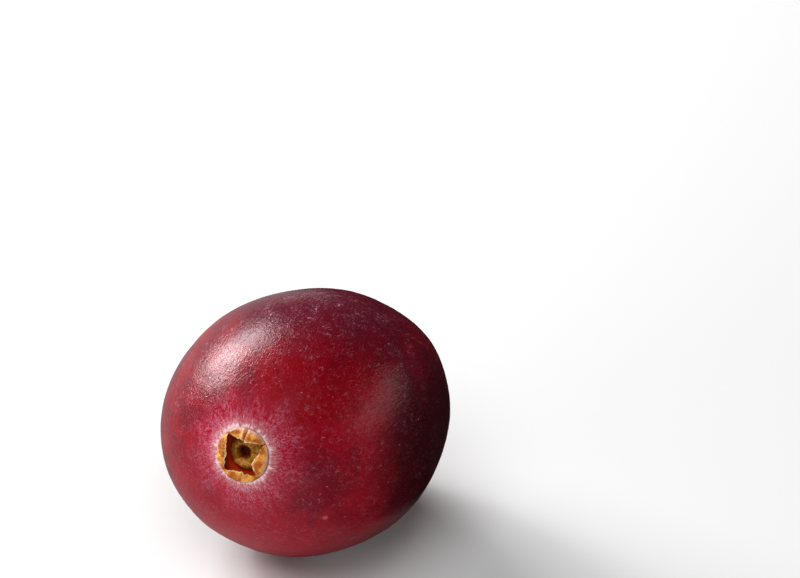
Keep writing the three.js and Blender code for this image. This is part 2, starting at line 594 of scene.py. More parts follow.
@dataclass(frozen=True)
class SkinFinish:
    """Thin glossy skin: crimson to maroon flesh colour under a whitish waxy bloom, with painted shade on its
    right side and a painted sheen at the key highlight.

    Sizes and reaches are in millimetres.

    Attributes:
        lie: The lie of the fruit, which places every pattern.
        crimson: The flesh's main colour.
        deep: Its darker clouds.
        maroon: Its dark patches, one of which is painted shade.
        painted_shade: The darkest colour, painted shade on the right side.
        bright: Its bright patches.
        rosy: Its pink patches, and its blush round the calyx.
        scratch: The nick.
        bloom: The waxy bloom.
        pale: The bloom right round the calyx, and the collar.
        sheen: Tint of the shine.
        maroon_and_shade_patches: Where the flesh is maroon, and the patch on the right side, which is
            painted shade.
        painted_shade_patches: Where shade is painted, on the right side.
        rosy_patches: Where it is pink.
        bright_patches: Where it is bright.
        bloom_and_sheen_patches: Where the bloom lies thick, and where it paints a pink sheen at the key
            highlight.
        nick: Where the nick is.
        thread_size: Size of the winding threads of bloom.
        thread_width: How far the noise may be from its middle on a thread.
        dot_spacing: Mean distance between pale dots.
        dot_radius: Radius of a dot.
        streak_reach: How far the streaks round the calyx reach.
        blush_reach: How far the pink blush round it reaches.
        glow_reach: How far the palest bloom round it reaches.
        collar_reach: How far the pale collar reaches.
        streak_long: Stretch of the long streaks.
        streak_short: Stretch of the short streaks.
        ripple_size: Size of the skin's fine ripples.
        ripple_depth: Their depth.
        roughness: Roughness of the bare skin.
        wax_roughness: Roughness that full bloom adds.
        refraction: Index of refraction of the skin.
    """

    lie: Lie
    crimson: Colour = tone("800012")
    deep: Colour = tone("640414")
    maroon: Colour = tone("4c081c")
    painted_shade: Colour = tone("300006")
    bright: Colour = tone("8c000a")
    rosy: Colour = tone("b00c2c")
    scratch: Colour = tone("c4525e")
    bloom: Colour = tone("cc92ac")
    pale: Colour = tone("f2d6da")
    sheen: Colour = (1.0, 0.78, 0.84)
    maroon_and_shade_patches: tuple[Patch, ...] = (
        Patch(90, 2, 62, 0.85),
        # Painted shade on the right side.
        Patch(10, 6, 52, 0.75),
        Patch(-160, 10, 60, 0.5),
        Patch(-22, -63, 17, 0.4),
    )
    # Painted shade on the right side of the fruit.
    painted_shade_patches: tuple[Patch, ...] = (Patch(4, 0, 46, 0.88),)
    rosy_patches: tuple[Patch, ...] = (
        Patch(-85, -42, 60, 0.4),
        Patch(16, -44, 22, 0.25),
        Patch(-30, -34, 32, 0.3),
    )
    bright_patches: tuple[Patch, ...] = (
        Patch(52, -50, 34, 0.7),
        Patch(-10, -40, 28, 0.5),
        Patch(-75, -35, 55, 0.6),
        Patch(-140, -40, 30, 0.3),
    )
    bloom_and_sheen_patches: tuple[Patch, ...] = (
        Patch(88, -16, 34, 1.0),
        Patch(60, -8, 30, 0.8),
        Patch(-158, -52, 34, 0.5),
        # Painted sheen: thick pink bloom where the key light's highlight falls.
        Patch(118, -46, 42, 0.42),
        Patch(112, -68, 20, 0.5),
        Patch(165, -45, 34, 0.6),
        Patch(-40, -52, 40, 0.4),
        Patch(-100, 30, 60, 0.35),
    )
    nick: Patch = Patch(-35, -50, 1.5, 0.9)
    thread_size: float = 0.24
    thread_width: float = 0.034
    dot_spacing: float = 0.7
    dot_radius: float = 0.06
    streak_reach: Reach = (4.4, 1.6)
    blush_reach: Reach = (4.4, 1.7)
    glow_reach: Reach = (2.5, 1.6)
    collar_reach: Reach = (1.82, 1.6)
    streak_long: float = 0.2
    streak_short: float = 0.5
    ripple_size: float = 0.25
    ripple_depth: float = 0.027
    roughness: float = 0.29
    wax_roughness: float = 0.25
    refraction: float = 1.36

    def survey(self, shade: Shade) -> SkinMap:
        """Works out the places that the patterns are drawn by.

        Args:
            shade: The material being built.

        Returns:
            The places.
        """
        place = self.lie.place_on_fruit(shade)
        x, y, z = shade.split(place)
        out = shade.join(x, 0.0, z)
        return SkinMap(
            shade=shade,
            place=place,
            far=shade.join(x, shade.times(y, 0.42), z),
            radius=shade.vector("LENGTH", out),
            turn=shade.vector("NORMALIZE", out),
            direction=shade.vector("NORMALIZE", place),
            front=shade.step(y, 2.0, -2.0),
            stray=shade.sway(shade.noise(place, 3.6, 3.0, 0.6), 0.4),
        )

    def flesh(self, skin: SkinMap, painted_shade: Socket) -> Socket:
        """Colour of the flesh under the bloom, with painted shade on its right side.

        Args:
            skin: The places on the skin.
            painted_shade: Mask of the painted shade.

        Returns:
            The colour.
        """
        shade = skin.shade
        cloud = shade.step(shade.noise(skin.far, 1.3, 4.0, 0.62), 0.36, 0.68)
        colour = shade.mix(cloud, self.deep, self.crimson)
        colour = shade.mix(skin.patches(self.bright_patches), colour, self.bright)
        colour = shade.mix(skin.patches(self.rosy_patches), colour, self.rosy)
        # Maroon patches, with painted shade on the right side.
        colour = shade.mix(skin.patches(self.maroon_and_shade_patches), colour, self.maroon)
        # Painted shade on the right side.
        colour = shade.mix(painted_shade, colour, self.painted_shade)
        return shade.mix(shade.times(skin.around_calyx(self.blush_reach), 0.7), colour, self.rosy)

    def dusting(self, skin: SkinMap, painted_shade: Socket, worms: Socket) -> Socket:
        """Threads and dust of bloom, thick on the bloom patches and thinnest where shade is painted.

        Args:
            skin: The places on the skin.
            painted_shade: Mask of the painted shade.
            worms: Mask of the winding threads.

        Returns:
            The bloom's mask.
        """
        shade = skin.shade
        # Bloom patches, one of them painted sheen at the key highlight.
        patchy = skin.patches(self.bloom_and_sheen_patches)
        broken = shade.times(worms, shade.step(shade.noise(skin.place, 0.3, 2.0), 0.42, 0.62))
        dust = shade.step(shade.noise(skin.place, 0.1, 3.0, 0.7), 0.55, 0.75)
        clumps = shade.step(shade.noise(skin.place, 1.0, 4.0, 0.7), 0.36, 0.66)
        flecks = shade.most(broken, shade.times(dust, 0.8))
        thick = shade.times(shade.times(flecks, clumps), shade.times(patchy, 0.82))
        film = shade.times(shade.times(clumps, patchy), 0.015)
        thin = shade.times(flecks, shade.plus(0.07, shade.times(clumps, 0.24)))
        thinned = shade.minus(1.0, shade.times(painted_shade, 0.75))
        return shade.times(shade.plus(film, shade.most(thick, thin)), thinned)

    def streaks(self, skin: SkinMap, worms: Socket, glow: Socket) -> Socket:
        """Streaks of bloom that fan out from the calyx.

        Args:
            skin: The places on the skin.
            worms: Mask of the winding threads.
            glow: Mask of the palest bloom round the calyx.

        Returns:
            The streaks' mask.
        """
        shade = skin.shade
        near = skin.fanned(self.streak_long)
        edge = shade.plus(skin.radius, shade.sway(shade.noise(near, 0.8, 2.0), 3.2))
        halo = shade.times(shade.step(edge, *self.streak_reach), skin.front)
        long_rays = shade.step(shade.noise(near, 0.11, 2.0, 0.6, 0.9), 0.5, 0.64)
        fine = shade.noise(skin.fanned(self.streak_short), 0.13, 3.0, 0.7, 1.4)
        short_rays = shade.step(fine, 0.5, 0.64)
        breaks = shade.step(shade.noise(skin.place, 0.32, 2.0, 0.6), 0.4, 0.6)
        rays = shade.most(shade.times(long_rays, breaks), short_rays)
        fan = shade.plus(shade.times(rays, 0.7), shade.times(glow, 0.3))
        return shade.math("MULTIPLY", halo, shade.most(fan, shade.times(worms, 0.75)), clamp=True)

    def collar(self, skin: SkinMap) -> Socket:
        """Pale, ragged collar that the sepals stand on.

        Args:
            skin: The places on the skin.

        Returns:
            The collar's mask.
        """
        shade = skin.shade
        torn = shade.sway(shade.noise(skin.fanned(self.streak_long), 0.3, 3.0, 0.7), 1.0)
        return shade.times(shade.step(shade.plus(skin.radius, torn), *self.collar_reach), skin.front)

    def relief(self, skin: SkinMap) -> Socket:
        """Fine leathery ripples along the fruit, and puckers round the calyx, that break up the shine.

        Args:
            skin: The places on the skin.

        Returns:
            The normal.
        """
        shade = skin.shade
        ripple = shade.noise(skin.far, self.ripple_size, 2.0, 0.5, 1.6)
        pucker = shade.noise(skin.fanned(self.streak_long), 0.16, 2.0, 0.5, 0.3)
        height = shade.blend(shade.step(skin.radius, 3.6, 2.0), ripple, pucker)
        return shade.bump(height, self.ripple_depth)

    def material(self) -> bpy.types.Material:
        """Builds the skin.

        Returns:
            The material.
        """
        shade = Shade("cranberry_skin")
        skin = self.survey(shade)
        # Painted shade on the right side.
        painted_shade = skin.patches(self.painted_shade_patches)
        glow = skin.around_calyx(self.glow_reach)
        worms = shade.threads(skin.far, self.thread_size, self.thread_width, detail=1.0, distortion=0.9)
        speckle = self.dusting(skin, painted_shade, worms)
        streaks = shade.times(self.streaks(skin, worms, glow), 0.62)
        dots = shade.times(shade.specks(skin.place, self.dot_spacing, self.dot_radius), 0.5)
        wax = shade.most(speckle, streaks, dots)
        colour = shade.mix(wax, self.flesh(skin, painted_shade), shade.mix(glow, self.bloom, self.pale))
        colour = shade.mix(shade.times(self.collar(skin), 0.8), colour, self.pale)
        colour = shade.mix(self.nick.mask(shade, skin.direction, 0.0), colour, self.scratch)
        shade.set(
            Base_Color=colour,
            Roughness=shade.plus(self.roughness, shade.times(wax, self.wax_roughness)),
            Normal=self.relief(skin),
            IOR=self.refraction,
            Specular_Tint=self.sheen,
        )
        return shade.material


@dataclass(frozen=True)
class BasinFinish:
    """Dry tissue inside the calyx: dark walls, an ochre disc, a black hole where the style stood, and a
    painted highlight on the ridge right of the hole.

    Attributes:
        lie: The lie of the fruit.
        hole_shift: How far to the right of the axis the hole is, in millimetres.
        wall: The basin's wall.
        disc: The disc.
        olive: Greener tissue on the disc.
        shadow: Fibres and spokes on the disc, and the torn edge of the hole.
        hole: The hole.
        ridge: Painted highlight on the ridge on the right of the hole.
        disc_edge: Reach over which the disc turns into the wall, in millimetres.
        ridge_radius: Distance of the ridge from the hole's middle.
        roughness: Roughness of the tissue.
    """

    lie: Lie
    hole_shift: float
    wall: Colour = tone("c03408")
    disc: Colour = tone("dc9c4c")
    olive: Colour = tone("9a6612")
    shadow: Colour = tone("84400c")
    hole: Colour = tone("541206")
    ridge: Colour = tone("b08a12")
    disc_edge: Reach = (0.86, 1.1)
    ridge_radius: float = 0.5
    roughness: float = 0.62

    def material(self) -> bpy.types.Material:
        """Builds the basin's surface.

        Returns:
            The material.
        """
        shade = Shade("calyx_basin")
        place = self.lie.place_on_fruit(shade)
        x, _, z = shade.split(place)
        out = shade.join(x, 0.0, z)
        radius = shade.vector("LENGTH", out)
        gap = shade.vector("LENGTH", shade.join(shade.minus(x, self.hole_shift), 0.0, z))
        spokes = shade.noise(shade.vector("NORMALIZE", out), 0.3, 3.0, 0.6)
        blotch = shade.noise(place, 0.36, 2.0, 0.6)
        fibre = shade.noise(place, 0.07, 3.0, 0.65)
        torn = shade.sway(spokes, 0.5)
        tissue = shade.mix(shade.step(blotch, 0.38, 0.62), self.olive, self.disc)
        tissue = shade.mix(shade.times(shade.step(fibre, 0.5, 0.7), 0.6), tissue, self.shadow)
        tissue = shade.mix(shade.times(shade.step(spokes, 0.52, 0.62), 0.55), tissue, self.shadow)
        tissue = shade.mix(shade.step(shade.plus(radius, torn), *self.disc_edge), tissue, self.wall)
        # Painted highlight on the ridge round the hole, on its right side only.
        from_ridge = shade.math("ABSOLUTE", shade.minus(gap, self.ridge_radius))
        ridge_highlight = shade.times(shade.step(from_ridge, 0.09, 0.02), shade.step(x, 0.05, 0.3))
        tissue = shade.mix(shade.times(ridge_highlight, 0.8), tissue, self.ridge)
        ragged = shade.plus(gap, torn)
        tissue = shade.mix(shade.step(ragged, 0.5, 0.38), tissue, self.shadow)
        tissue = shade.mix(shade.step(ragged, 0.36, 0.22), tissue, self.hole)
        shade.set(Base_Color=tissue, Roughness=self.roughness, Normal=shade.bump(fibre, 0.05))
        return shade.material


@dataclass(frozen=True)
class SepalFinish:
    """Dry papery sepal: orange-tan with fine ribs, darker inside and paler at the foot; its pale edges and
    crease ridge carry a painted highlight, its crease painted shade.

    Attributes:
        lie: The lie of the fruit.
        collar_plane: Distance of the collar from the fruit's middle, in millimetres.
        outer: The outside's main colour.
        golden: Its lighter patches.
        rust: Its crumpled patches.
        burnt_and_crease_shade: Ribs, and painted shade in the deep creases.
        inner: The inside.
        cream_highlight: Pale edges with a painted highlight, and painted highlight on the ridges beside the
            creases.
        foot: The foot, where it grows out of the skin.
        roughness: Roughness of the dry tissue.
        relief_depth: Depth of its fine wrinkles, in millimetres.
    """

    lie: Lie
    collar_plane: float
    outer: Colour = tone("b86010")
    golden: Colour = tone("f0a440")
    rust: Colour = tone("a8440e")
    burnt_and_crease_shade: Colour = tone("6e2a0a")
    inner: Colour = tone("b82a0a")
    cream_highlight: Colour = tone("f8dcaa")
    foot: Colour = tone("d69c84")
    roughness: float = 0.5
    relief_depth: float = 0.09

    def material(self) -> bpy.types.Material:
        """Builds the sepals' surface, from the place and from the numbers stored on their meshes.

        Returns:
            The material.
        """
        shade = Shade("dry_sepal")
        rim, inside, rib, foot, valley, ridge = (shade.stored(mark.value) for mark in Mark)
        place = self.lie.place_on_fruit(shade)
        height = shade.minus(-self.collar_plane, shade.split(place)[1])
        ribs = shade.noise(shade.join(rib, shade.times(height, 0.3), 0.0), 0.055, 2.0)
        fibre = shade.noise(place, 0.09, 3.0, 0.65)
        blotch = shade.noise(place, 0.6, 2.0, 0.6)
        crumpled = shade.noise(place, 0.2, 3.0, 0.7, 0.6)
        colour = shade.mix(shade.step(blotch, 0.4, 0.6), self.outer, self.golden)
        colour = shade.mix(shade.times(shade.step(crumpled, 0.52, 0.64), 0.8), colour, self.rust)
        colour = shade.mix(shade.times(shade.step(ribs, 0.5, 0.72), 0.3), colour, self.burnt_and_crease_shade)
        # Painted shade in the crease.
        colour = shade.mix(shade.times(valley, 0.75), colour, self.burnt_and_crease_shade)
        # Painted highlight on the ridge beside the crease.
        colour = shade.mix(shade.times(ridge, 0.3), colour, self.cream_highlight)
        frayed = shade.plus(foot, shade.sway(fibre, 0.8))
        colour = shade.mix(shade.step(frayed, 0.1, 1.0), colour, self.foot)
        dim = shade.mix(shade.step(fibre, 0.4, 0.7), self.inner, self.burnt_and_crease_shade)
        colour = shade.mix(inside, colour, dim)
        # Pale edges with a painted highlight, broken up where the sepal is crumpled.
        pale_lit_edge = shade.times(rim, shade.step(crumpled, 0.4, 0.62))
        colour = shade.mix(pale_lit_edge, colour, self.cream_highlight)
        relief = shade.plus(shade.times(ribs, 0.5), shade.times(crumpled, 0.9))
        normal = shade.bump(relief, self.relief_depth)
        shade.set(Base_Color=colour, Roughness=self.roughness, Normal=normal)
        return shade.material


@dataclass(frozen=True)
class StalkFinish:
    """Dry broken stalk: rust-brown fibres with dark pits, and the torn pinkish ring of skin round it.

    Attributes:
        lie: The lie of the fruit.
        bark: The stalk's darker fibres.
        pith: Its lighter fibres.
        pit: Its pits.
        torn: Torn skin in the scar.
        relief_depth: Depth of the fibres, in millimetres.
    """

    lie: Lie
    bark: Colour = tone("8a4a24")
    pith: Colour = tone("b98a5a")
    pit: Colour = tone("2a0f08")
    torn: Colour = tone("c48e92")
    relief_depth: float = 0.05

    def material(self) -> bpy.types.Material:
        """Builds the stalk's surface.

        Returns:
            The material.
        """
        shade = Shade("dry_stalk")
        place = self.lie.place_on_fruit(shade)
        x, y, z = shade.split(place)
        fibre = shade.noise(shade.join(x, shade.times(y, 0.25), z), 0.09, 3.0, 0.65)
        colour = shade.mix(shade.step(fibre, 0.38, 0.66), self.bark, self.pith)
        pits = shade.step(shade.noise(place, 0.13, 2.0), 0.44, 0.34)
        colour = shade.mix(pits, colour, self.pit)
        normal = shade.bump(fibre, self.relief_depth)
        shade.set(Base_Color=colour, Roughness=0.8, Normal=normal)
        return shade.material

    def socket_material(self) -> bpy.types.Material:
        """Builds the torn, woody inside of the scar that the stalk sits in.

        Returns:
            The material.
        """
        shade = Shade("stem_scar")
        fibre = shade.noise(self.lie.place_on_fruit(shade), 0.1, 3.0, 0.7)
        colour = shade.mix(shade.step(fibre, 0.35, 0.62), self.bark, self.torn)
        normal = shade.bump(fibre, self.relief_depth)
        shade.set(Base_Color=colour, Roughness=0.7, Normal=normal)
        return shade.material


@dataclass(frozen=True)
class CardFinish:
    """Matt grey or white card.

    Attributes:
        name: The material's name.
        level: Its grey, 0 for black to 1 for white.
        roughness: Its roughness.
        gloss: Strength of its shine; 0.5 is that of paint.
    """

    name: str
    level: float
    roughness: float = 1.0
    gloss: float = 0.0

    def material(self) -> bpy.types.Material:
        """Builds the card's surface.

        Returns:
            The material.
        """
        shade = Shade(self.name)
        grey = (self.level, self.level, self.level)
        shade.set(Base_Color=grey, Roughness=self.roughness, Specular_IOR_Level=self.gloss)
        return shade.material


# ---------------------------------------------------------------------------------------------------------
# Meshes
# ---------------------------------------------------------------------------------------------------------


@dataclass
class Lattice:
    """Points in rows that are joined into quads.

    Attributes:
        points: Places, as rows by columns by three.
        closed: Whether each row joins its last point to its first.
    """

    points: np.ndarray
    closed: bool = False

    def flat(self) -> np.ndarray:
        """The points as one list."""
        return self.points.reshape(-1, 3)

    def faces(self, start: int = 0, flip: bool = False) -> Faces:
        """Quads between neighbouring rows.

        Args:
            start: Number of the lattice's first point in its mesh.
            flip: Whether the faces look the other way.

        Returns:
            The quads' corner numbers.
        """
        rows, columns = self.points.shape[:2]
        quads = []
        for row in range(rows - 1):
            for column in range(columns if self.closed else columns - 1):
                after = (column + 1) % columns
                corners = (
                    start + row * columns + column,
                    start + row * columns + after,
                    start + (row + 1) * columns + after,
                    start + (row + 1) * columns + column,
                )
                quads.append(corners[::-1] if flip else corners)
        return quads

    def end_fans(self) -> Faces:
        """Triangles that close the first and last rows at two points that follow the lattice's own.

        Returns:
            The corner numbers: a triangle of the first row, one of the last row, and so on round.
        """
        rows, columns = self.points.shape[:2]
        first_tip = rows * columns
        last_row = first_tip - columns
        fans = []
        for column in range(columns):
            after = (column + 1) % columns
            fans.append((column, after, first_tip))
            fans.append((last_row + after, last_row + column, first_tip + 1))
        return fans


def make_piece(name: str, points: np.ndarray, faces: Faces) -> bpy.types.Object:
    """Makes a smooth mesh object at the origin and puts it in the scene.

    Args:
        name: The piece's name.
        points: Places in the shared frame, in metres.
        faces: Corner numbers of each face.

    Returns:
        The object.
    """
    mesh = bpy.data.meshes.new(name)
    mesh.from_pydata(points.tolist(), [], faces)
    mesh.polygons.foreach_set("use_smooth", [True] * len(mesh.polygons))
    mesh.update()
    made = bpy.data.objects.new(name, mesh)
    bpy.context.scene.collection.objects.link(made)
    return made


def fit_out(piece: bpy.types.Object, solid: str, slot: str, *finishes: bpy.types.Material) -> None:
    """Dresses a piece, fixes it to the fruit and hides the solid that it stands for.

    Args:
        piece: The piece.
        solid: The solid's name.
        slot: What kind of surface it has; not used.
        *finishes: Its materials, in the order of their numbers on its faces.
    """
    for finish in finishes:
        piece.data.materials.append(finish)
    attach(piece, BODY)
    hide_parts(solid)


def turned(outline: np.ndarray, columns: int) -> Lattice:
    """Turns an outline round the Y axis.

    Args:
        outline: Rows of radius and y.
        columns: Points round each row.

    Returns:
        The turned surface.
    """
    around = np.linspace(0.0, 2.0 * math.pi, columns, endpoint=False)
    radius, along = outline[:, :1], outline[:, 1:]
    points = np.stack((radius * np.cos(around), along + 0.0 * around, radius * np.sin(around)), axis=2)
    return Lattice(points, closed=True)


def polar(points: np.ndarray) -> tuple[np.ndarray, np.ndarray]:
    """Each point's distance from the Y axis and its angle round it, from X towards Z."""
    return np.hypot(points[:, 0], points[:, 2]), np.arctan2(points[:, 2], points[:, 0])


def wrapped(around: np.ndarray, girth: float, along: float | np.ndarray = 0.0) -> np.ndarray:
    """Places on a tube, where noise joins up all the way round.

    Args:
        around: Angles round the tube.
        girth: The tube's radius.
        along: Places along it.

    Returns:
        Rows of points.
    """
    return np.stack((girth * np.cos(around), along + 0.0 * around, girth * np.sin(around)), axis=1)


def push_out(points: np.ndarray, around: np.ndarray, amount: np.ndarray) -> None:
    """Moves points away from the Y axis, each by its own amount."""
    points[..., 0] += amount * np.cos(around)
    points[..., 2] += amount * np.sin(around)


def outward(points: np.ndarray) -> np.ndarray:
    """Unit vector from the fruit's middle to each point."""
    return points / np.maximum(np.linalg.norm(points, axis=1, keepdims=True), 1e-6)


def smooth_run(corners: list[tuple[float, float]], steps: int) -> np.ndarray:
    """A rounded line through corners, as equal steps of a Catmull-Rom curve.

    Args:
        corners: The line's own points.
        steps: Number of steps from first to last.

    Returns:
        Rows of the two values, one more than the steps.
    """
    knots = np.array([corners[0], *corners, corners[-1]])
    spans = len(corners) - 1
    fine = []
    for share in np.linspace(0.0, spans, 24 * spans + 1):
        span = min(int(share), spans - 1)
        t = share - span
        a, b, c, d = knots[span : span + 4]
        bend = (2 * a - 5 * b + 4 * c - d) * t**2 + (3 * b - a - 3 * c + d) * t**3
        fine.append(0.5 * (2 * b + (c - a) * t + bend))
    fine = np.array(fine)
    run = np.concatenate(([0.0], np.cumsum(np.linalg.norm(np.diff(fine, axis=0), axis=1))))
    even = np.linspace(0.0, run[-1], steps + 1)
    return np.stack([np.interp(even, run, fine[:, i]) for i in range(2)], axis=1)


# ---------------------------------------------------------------------------------------------------------
# The berry
# ---------------------------------------------------------------------------------------------------------


class Cover(IntEnum):
    """What a face of the berry is covered with, by the number of its material."""

    SKIN = 0
    BASIN = 1
    SCAR = 2


@dataclass(frozen=True)
class Swelling:
    """A broad swelling or hollow of the body.

    Attributes:
        around: Angle round the axis of its middle, from X towards Z, in degrees.
        along: Angle of its middle towards the stem end, in degrees.
        lift: How far it lifts the skin, in millimetres; a hollow's is negative.
        fade: Angle over which it fades, in degrees.
    """

    around: float
    along: float
    lift: float
    fade: float


@dataclass
class Berry:
    """Skin and flesh grown as one, with the calyx basin in front and the stem scar behind.

    Lengths are in millimetres, and depths of the weathering are half of its full range.

    Attributes:
        lie: The lie of the fruit.
        mean_radius: Radius of the body at its widest, before it is made uneven.
        front_length: Half length towards the blossom end.
        back_length: Half length towards the stem end.
        ovality: How far the section is from round, as a share of the radius.
        oval_roll: Angle of the section's long way round the axis, in degrees.
        uneven_from: Distances from the axis at which the unevenness starts and is full.
        swellings: The body's broad swellings and hollows.
        collar_plane: Distance of the collar from the middle.
        collar_radius: Radius of the collar's crest.
        collar_lift: Height of the collar.
        collar_spread: How widely the collar fades.
        mouth_radius: Radius of the basin's mouth.
        hole_shift: How far to the right of the axis the hole in the disc is.
        disc_radius: Radius inside which the disc is torn.
        dimple_depth: Depth of the stem end's dimple.
        dimple_spread: How widely the dimple fades.
        scar_radius: Radius of the torn ring of skin round the stem scar.
        scar_lift: Height of that ring.
        scar_spread: How widely the ring fades.
        socket_radius: Radius of the socket that the stalk sits in.
        socket_depth: Depth of the socket below the round body's end.
        dents: Depth of the skin's broad dents.
        small_dents: Depth of its small dents.
        folds: Depth of the folds that fan out from the calyx.
        ring_wrinkles: Depth of the collar's wrinkles.
        columns: Points round the body.
        skin_steps: Steps along the skin's outline.
        basin_steps: Steps along the basin's outline.
        socket_steps: Steps along the socket's outline.
        collar_steps: The basin's last steps, which are covered with skin.
    """

    lie: Lie
    mean_radius: float = 8.0
    front_length: float = 9.45
    back_length: float = 9.4
    ovality: float = 0.0385
    oval_roll: float = 28.0
    uneven_from: Reach = (1.9, 5.0)
    swellings: tuple[Swelling, ...] = (
        Swelling(-4, 18, -0.15, 17),
        Swelling(47, 25, 0.13, 15),
        Swelling(-45, 2, 0.07, 20),
        Swelling(110, 9, -0.09, 24),
        Swelling(-86, 8, 0.34, 21),
    )
    collar_plane: float = 9.27
    collar_radius: float = 1.75
    collar_lift: float = 0.08
    collar_spread: float = 0.35
    mouth_radius: float = 1.62
    hole_shift: float = -0.17
    disc_radius: float = 1.35
    dimple_depth: float = 0.22
    dimple_spread: float = 1.5
    scar_radius: float = 0.74
    scar_lift: float = 0.09
    scar_spread: float = 0.14
    socket_radius: float = 0.53
    socket_depth: float = 0.8
    dents: float = 0.035
    small_dents: float = 0.011
    folds: float = 0.022
    ring_wrinkles: float = 0.03
    columns: int = 380
    skin_steps: int = 168
    basin_steps: int = 62
    socket_steps: int = 24
    collar_steps: int = 3

    def basin_outline(self) -> np.ndarray:
        """Outline of the basin, from its middle out to the collar.

        Returns:
            Rows of radius and y.
        """
        corners = [
            (0.0, -0.92),
            (0.15, -0.88),
            (0.24, -0.78),
            (0.31, -0.66),
            (0.4, -0.54),
            (0.52, -0.45),
            (0.7, -0.48),
            (0.92, -0.55),
            (1.08, -0.7),
            (1.2, -0.72),
            (1.32, -0.56),
            (1.48, -0.5),
            (1.55, -0.46),
            (1.57, -0.3),
            (1.565, -0.06),
            (1.6, 0.03),
        ]
        line = smooth_run(corners, self.basin_steps)
        return np.stack((line[:, 0], -self.collar_plane - line[:, 1]), axis=1)

    def skin_outline(self) -> np.ndarray:
        """Outline of the skin, from the collar round to the scar ring.

        Returns:
            Rows of radius and y.
        """
        start = math.asin((self.mouth_radius + 0.03) / self.mean_radius)
        end = math.pi - math.asin(self.scar_radius / self.mean_radius)
        share = np.linspace(0.0, 1.0, self.skin_steps + 1)
        # shorter steps near both ends, where the skin curves most
        turn = start + (end - start) * (share - np.sin(2 * math.pi * share) * 0.135)
        radius = self.mean_radius * np.sin(turn)
        front = np.cos(turn) > 0
        along = -np.where(front, self.front_length, self.back_length) * np.cos(turn)
        collar = self.collar_lift * bell(radius - self.collar_radius, self.collar_spread)
        dimple = self.dimple_depth * bell(radius, self.dimple_spread)
        scar = self.scar_lift * bell(radius - self.scar_radius, self.scar_spread)
        return np.stack((radius, np.where(front, along - collar, along - dimple + scar)), axis=1)

    def socket_outline(self) -> np.ndarray:
        """Outline of the socket, from the scar ring in to the axis.

        Returns:
            Rows of radius and y.
        """
        corners = [
            (self.scar_radius - 0.05, self.dimple_depth - 0.07),
            (self.socket_radius + 0.05, self.dimple_depth),
            (self.socket_radius, self.dimple_depth + 0.1),
            (self.socket_radius, self.socket_depth - 0.12),
            (self.socket_radius - 0.12, self.socket_depth),
            (0.0, self.socket_depth),
        ]
        line = smooth_run(corners, self.socket_steps)
        return np.stack((line[:, 0], self.back_length - line[:, 1]), axis=1)

    def grow_uneven(self, points: np.ndarray) -> np.ndarray:
        """Gives the round body its oval section and its broad swellings and hollows.

        Args:
            points: Rows of the round body's places.

        Returns:
            The uneven body's places.
        """
        grown = points.copy()
        radius, around = polar(points)
        fullness = ease(radius, *self.uneven_from)
        oval = 1 + self.ovality * fullness * np.cos(2 * (around - math.radians(self.oval_roll)))
        grown[:, 0] *= oval
        grown[:, 2] *= oval
        away = outward(grown)
        for swelling in self.swellings:
            middle = np.array(heading(swelling.around, swelling.along))
            angle = np.arccos(np.clip(away @ middle, -1, 1))
            lift = swelling.lift * fullness * bell(angle, math.radians(swelling.fade))
            grown += away * lift[:, None]
        return grown

    def weather_skin(self, points: np.ndarray) -> np.ndarray:
        """Works out dents over the skin, folds that fan out from the calyx and wrinkles of the collar.

        Args:
            points: Rows of the smooth body's places.

        Returns:
            How far each place is lifted.
        """
        radius, around = polar(points)
        front = points[:, 1] < 0
        dents = self.dents * grain(points * (1, 0.6, 1), 2.6, 3.1)
        dents += self.small_dents * grain(points * (1, 0.5, 1), 0.8, 7.7)
        dented = np.where(front, ease(radius, self.collar_radius, 3.0), ease(radius, 1.0, 2.5))
        fanned = wrapped(around, 2.4, radius * 0.25)
        folded = ease(radius, self.mouth_radius, self.collar_radius) * ease(radius, 4.2, 2.2)
        folds = self.folds * grain(fanned, 0.3, 5.3) * folded
        wrinkles = self.ring_wrinkles * grain(fanned, 0.9, 9.1) * bell(radius - 1.72, 0.16)
        return dented * dents + np.where(front, folds + wrinkles, 0.0)

    def weather(self, points: np.ndarray) -> np.ndarray:
        """Weathers the skin, and tears the disc and the ring of skin at the stem scar.

        Args:
            points: Rows of the smooth body's places.

        Returns:
            The finished places.
        """
        radius, around = polar(points)
        front = points[:, 1] < 0
        finished = points + outward(points) * self.weather_skin(points)[:, None]
        fine = grain(points, 0.12, 4.4)
        # the disc: swollen segments, a torn edge round the hole and a pit set a little to one side
        on_disc = front & (radius < self.disc_radius)
        crumple = grain(wrapped(around, 1.5), 0.4, 2.2)
        rim = bell(radius - 0.44, 0.16) * (0.13 * crumple + 0.06 * fine)
        finished[:, 1] -= np.where(on_disc, rim + 0.025 * fine, 0.0)
        tear = bell(radius - 0.33, 0.17) * (0.16 * crumple + 0.04 * fine)
        push_out(finished, around, np.where(on_disc, tear, 0.0))
        finished[:, 0] += np.where(on_disc, self.hole_shift * bell(radius, 0.7), 0.0)
        # the torn ring of skin at the stem scar
        scar = np.where(front, 0.0, bell(radius - self.scar_radius + 0.03, 0.13))
        finished[:, 1] += scar * (0.07 * grain(wrapped(around, 1.5), 0.22, 6.1) + 0.03 * fine)
        return finished

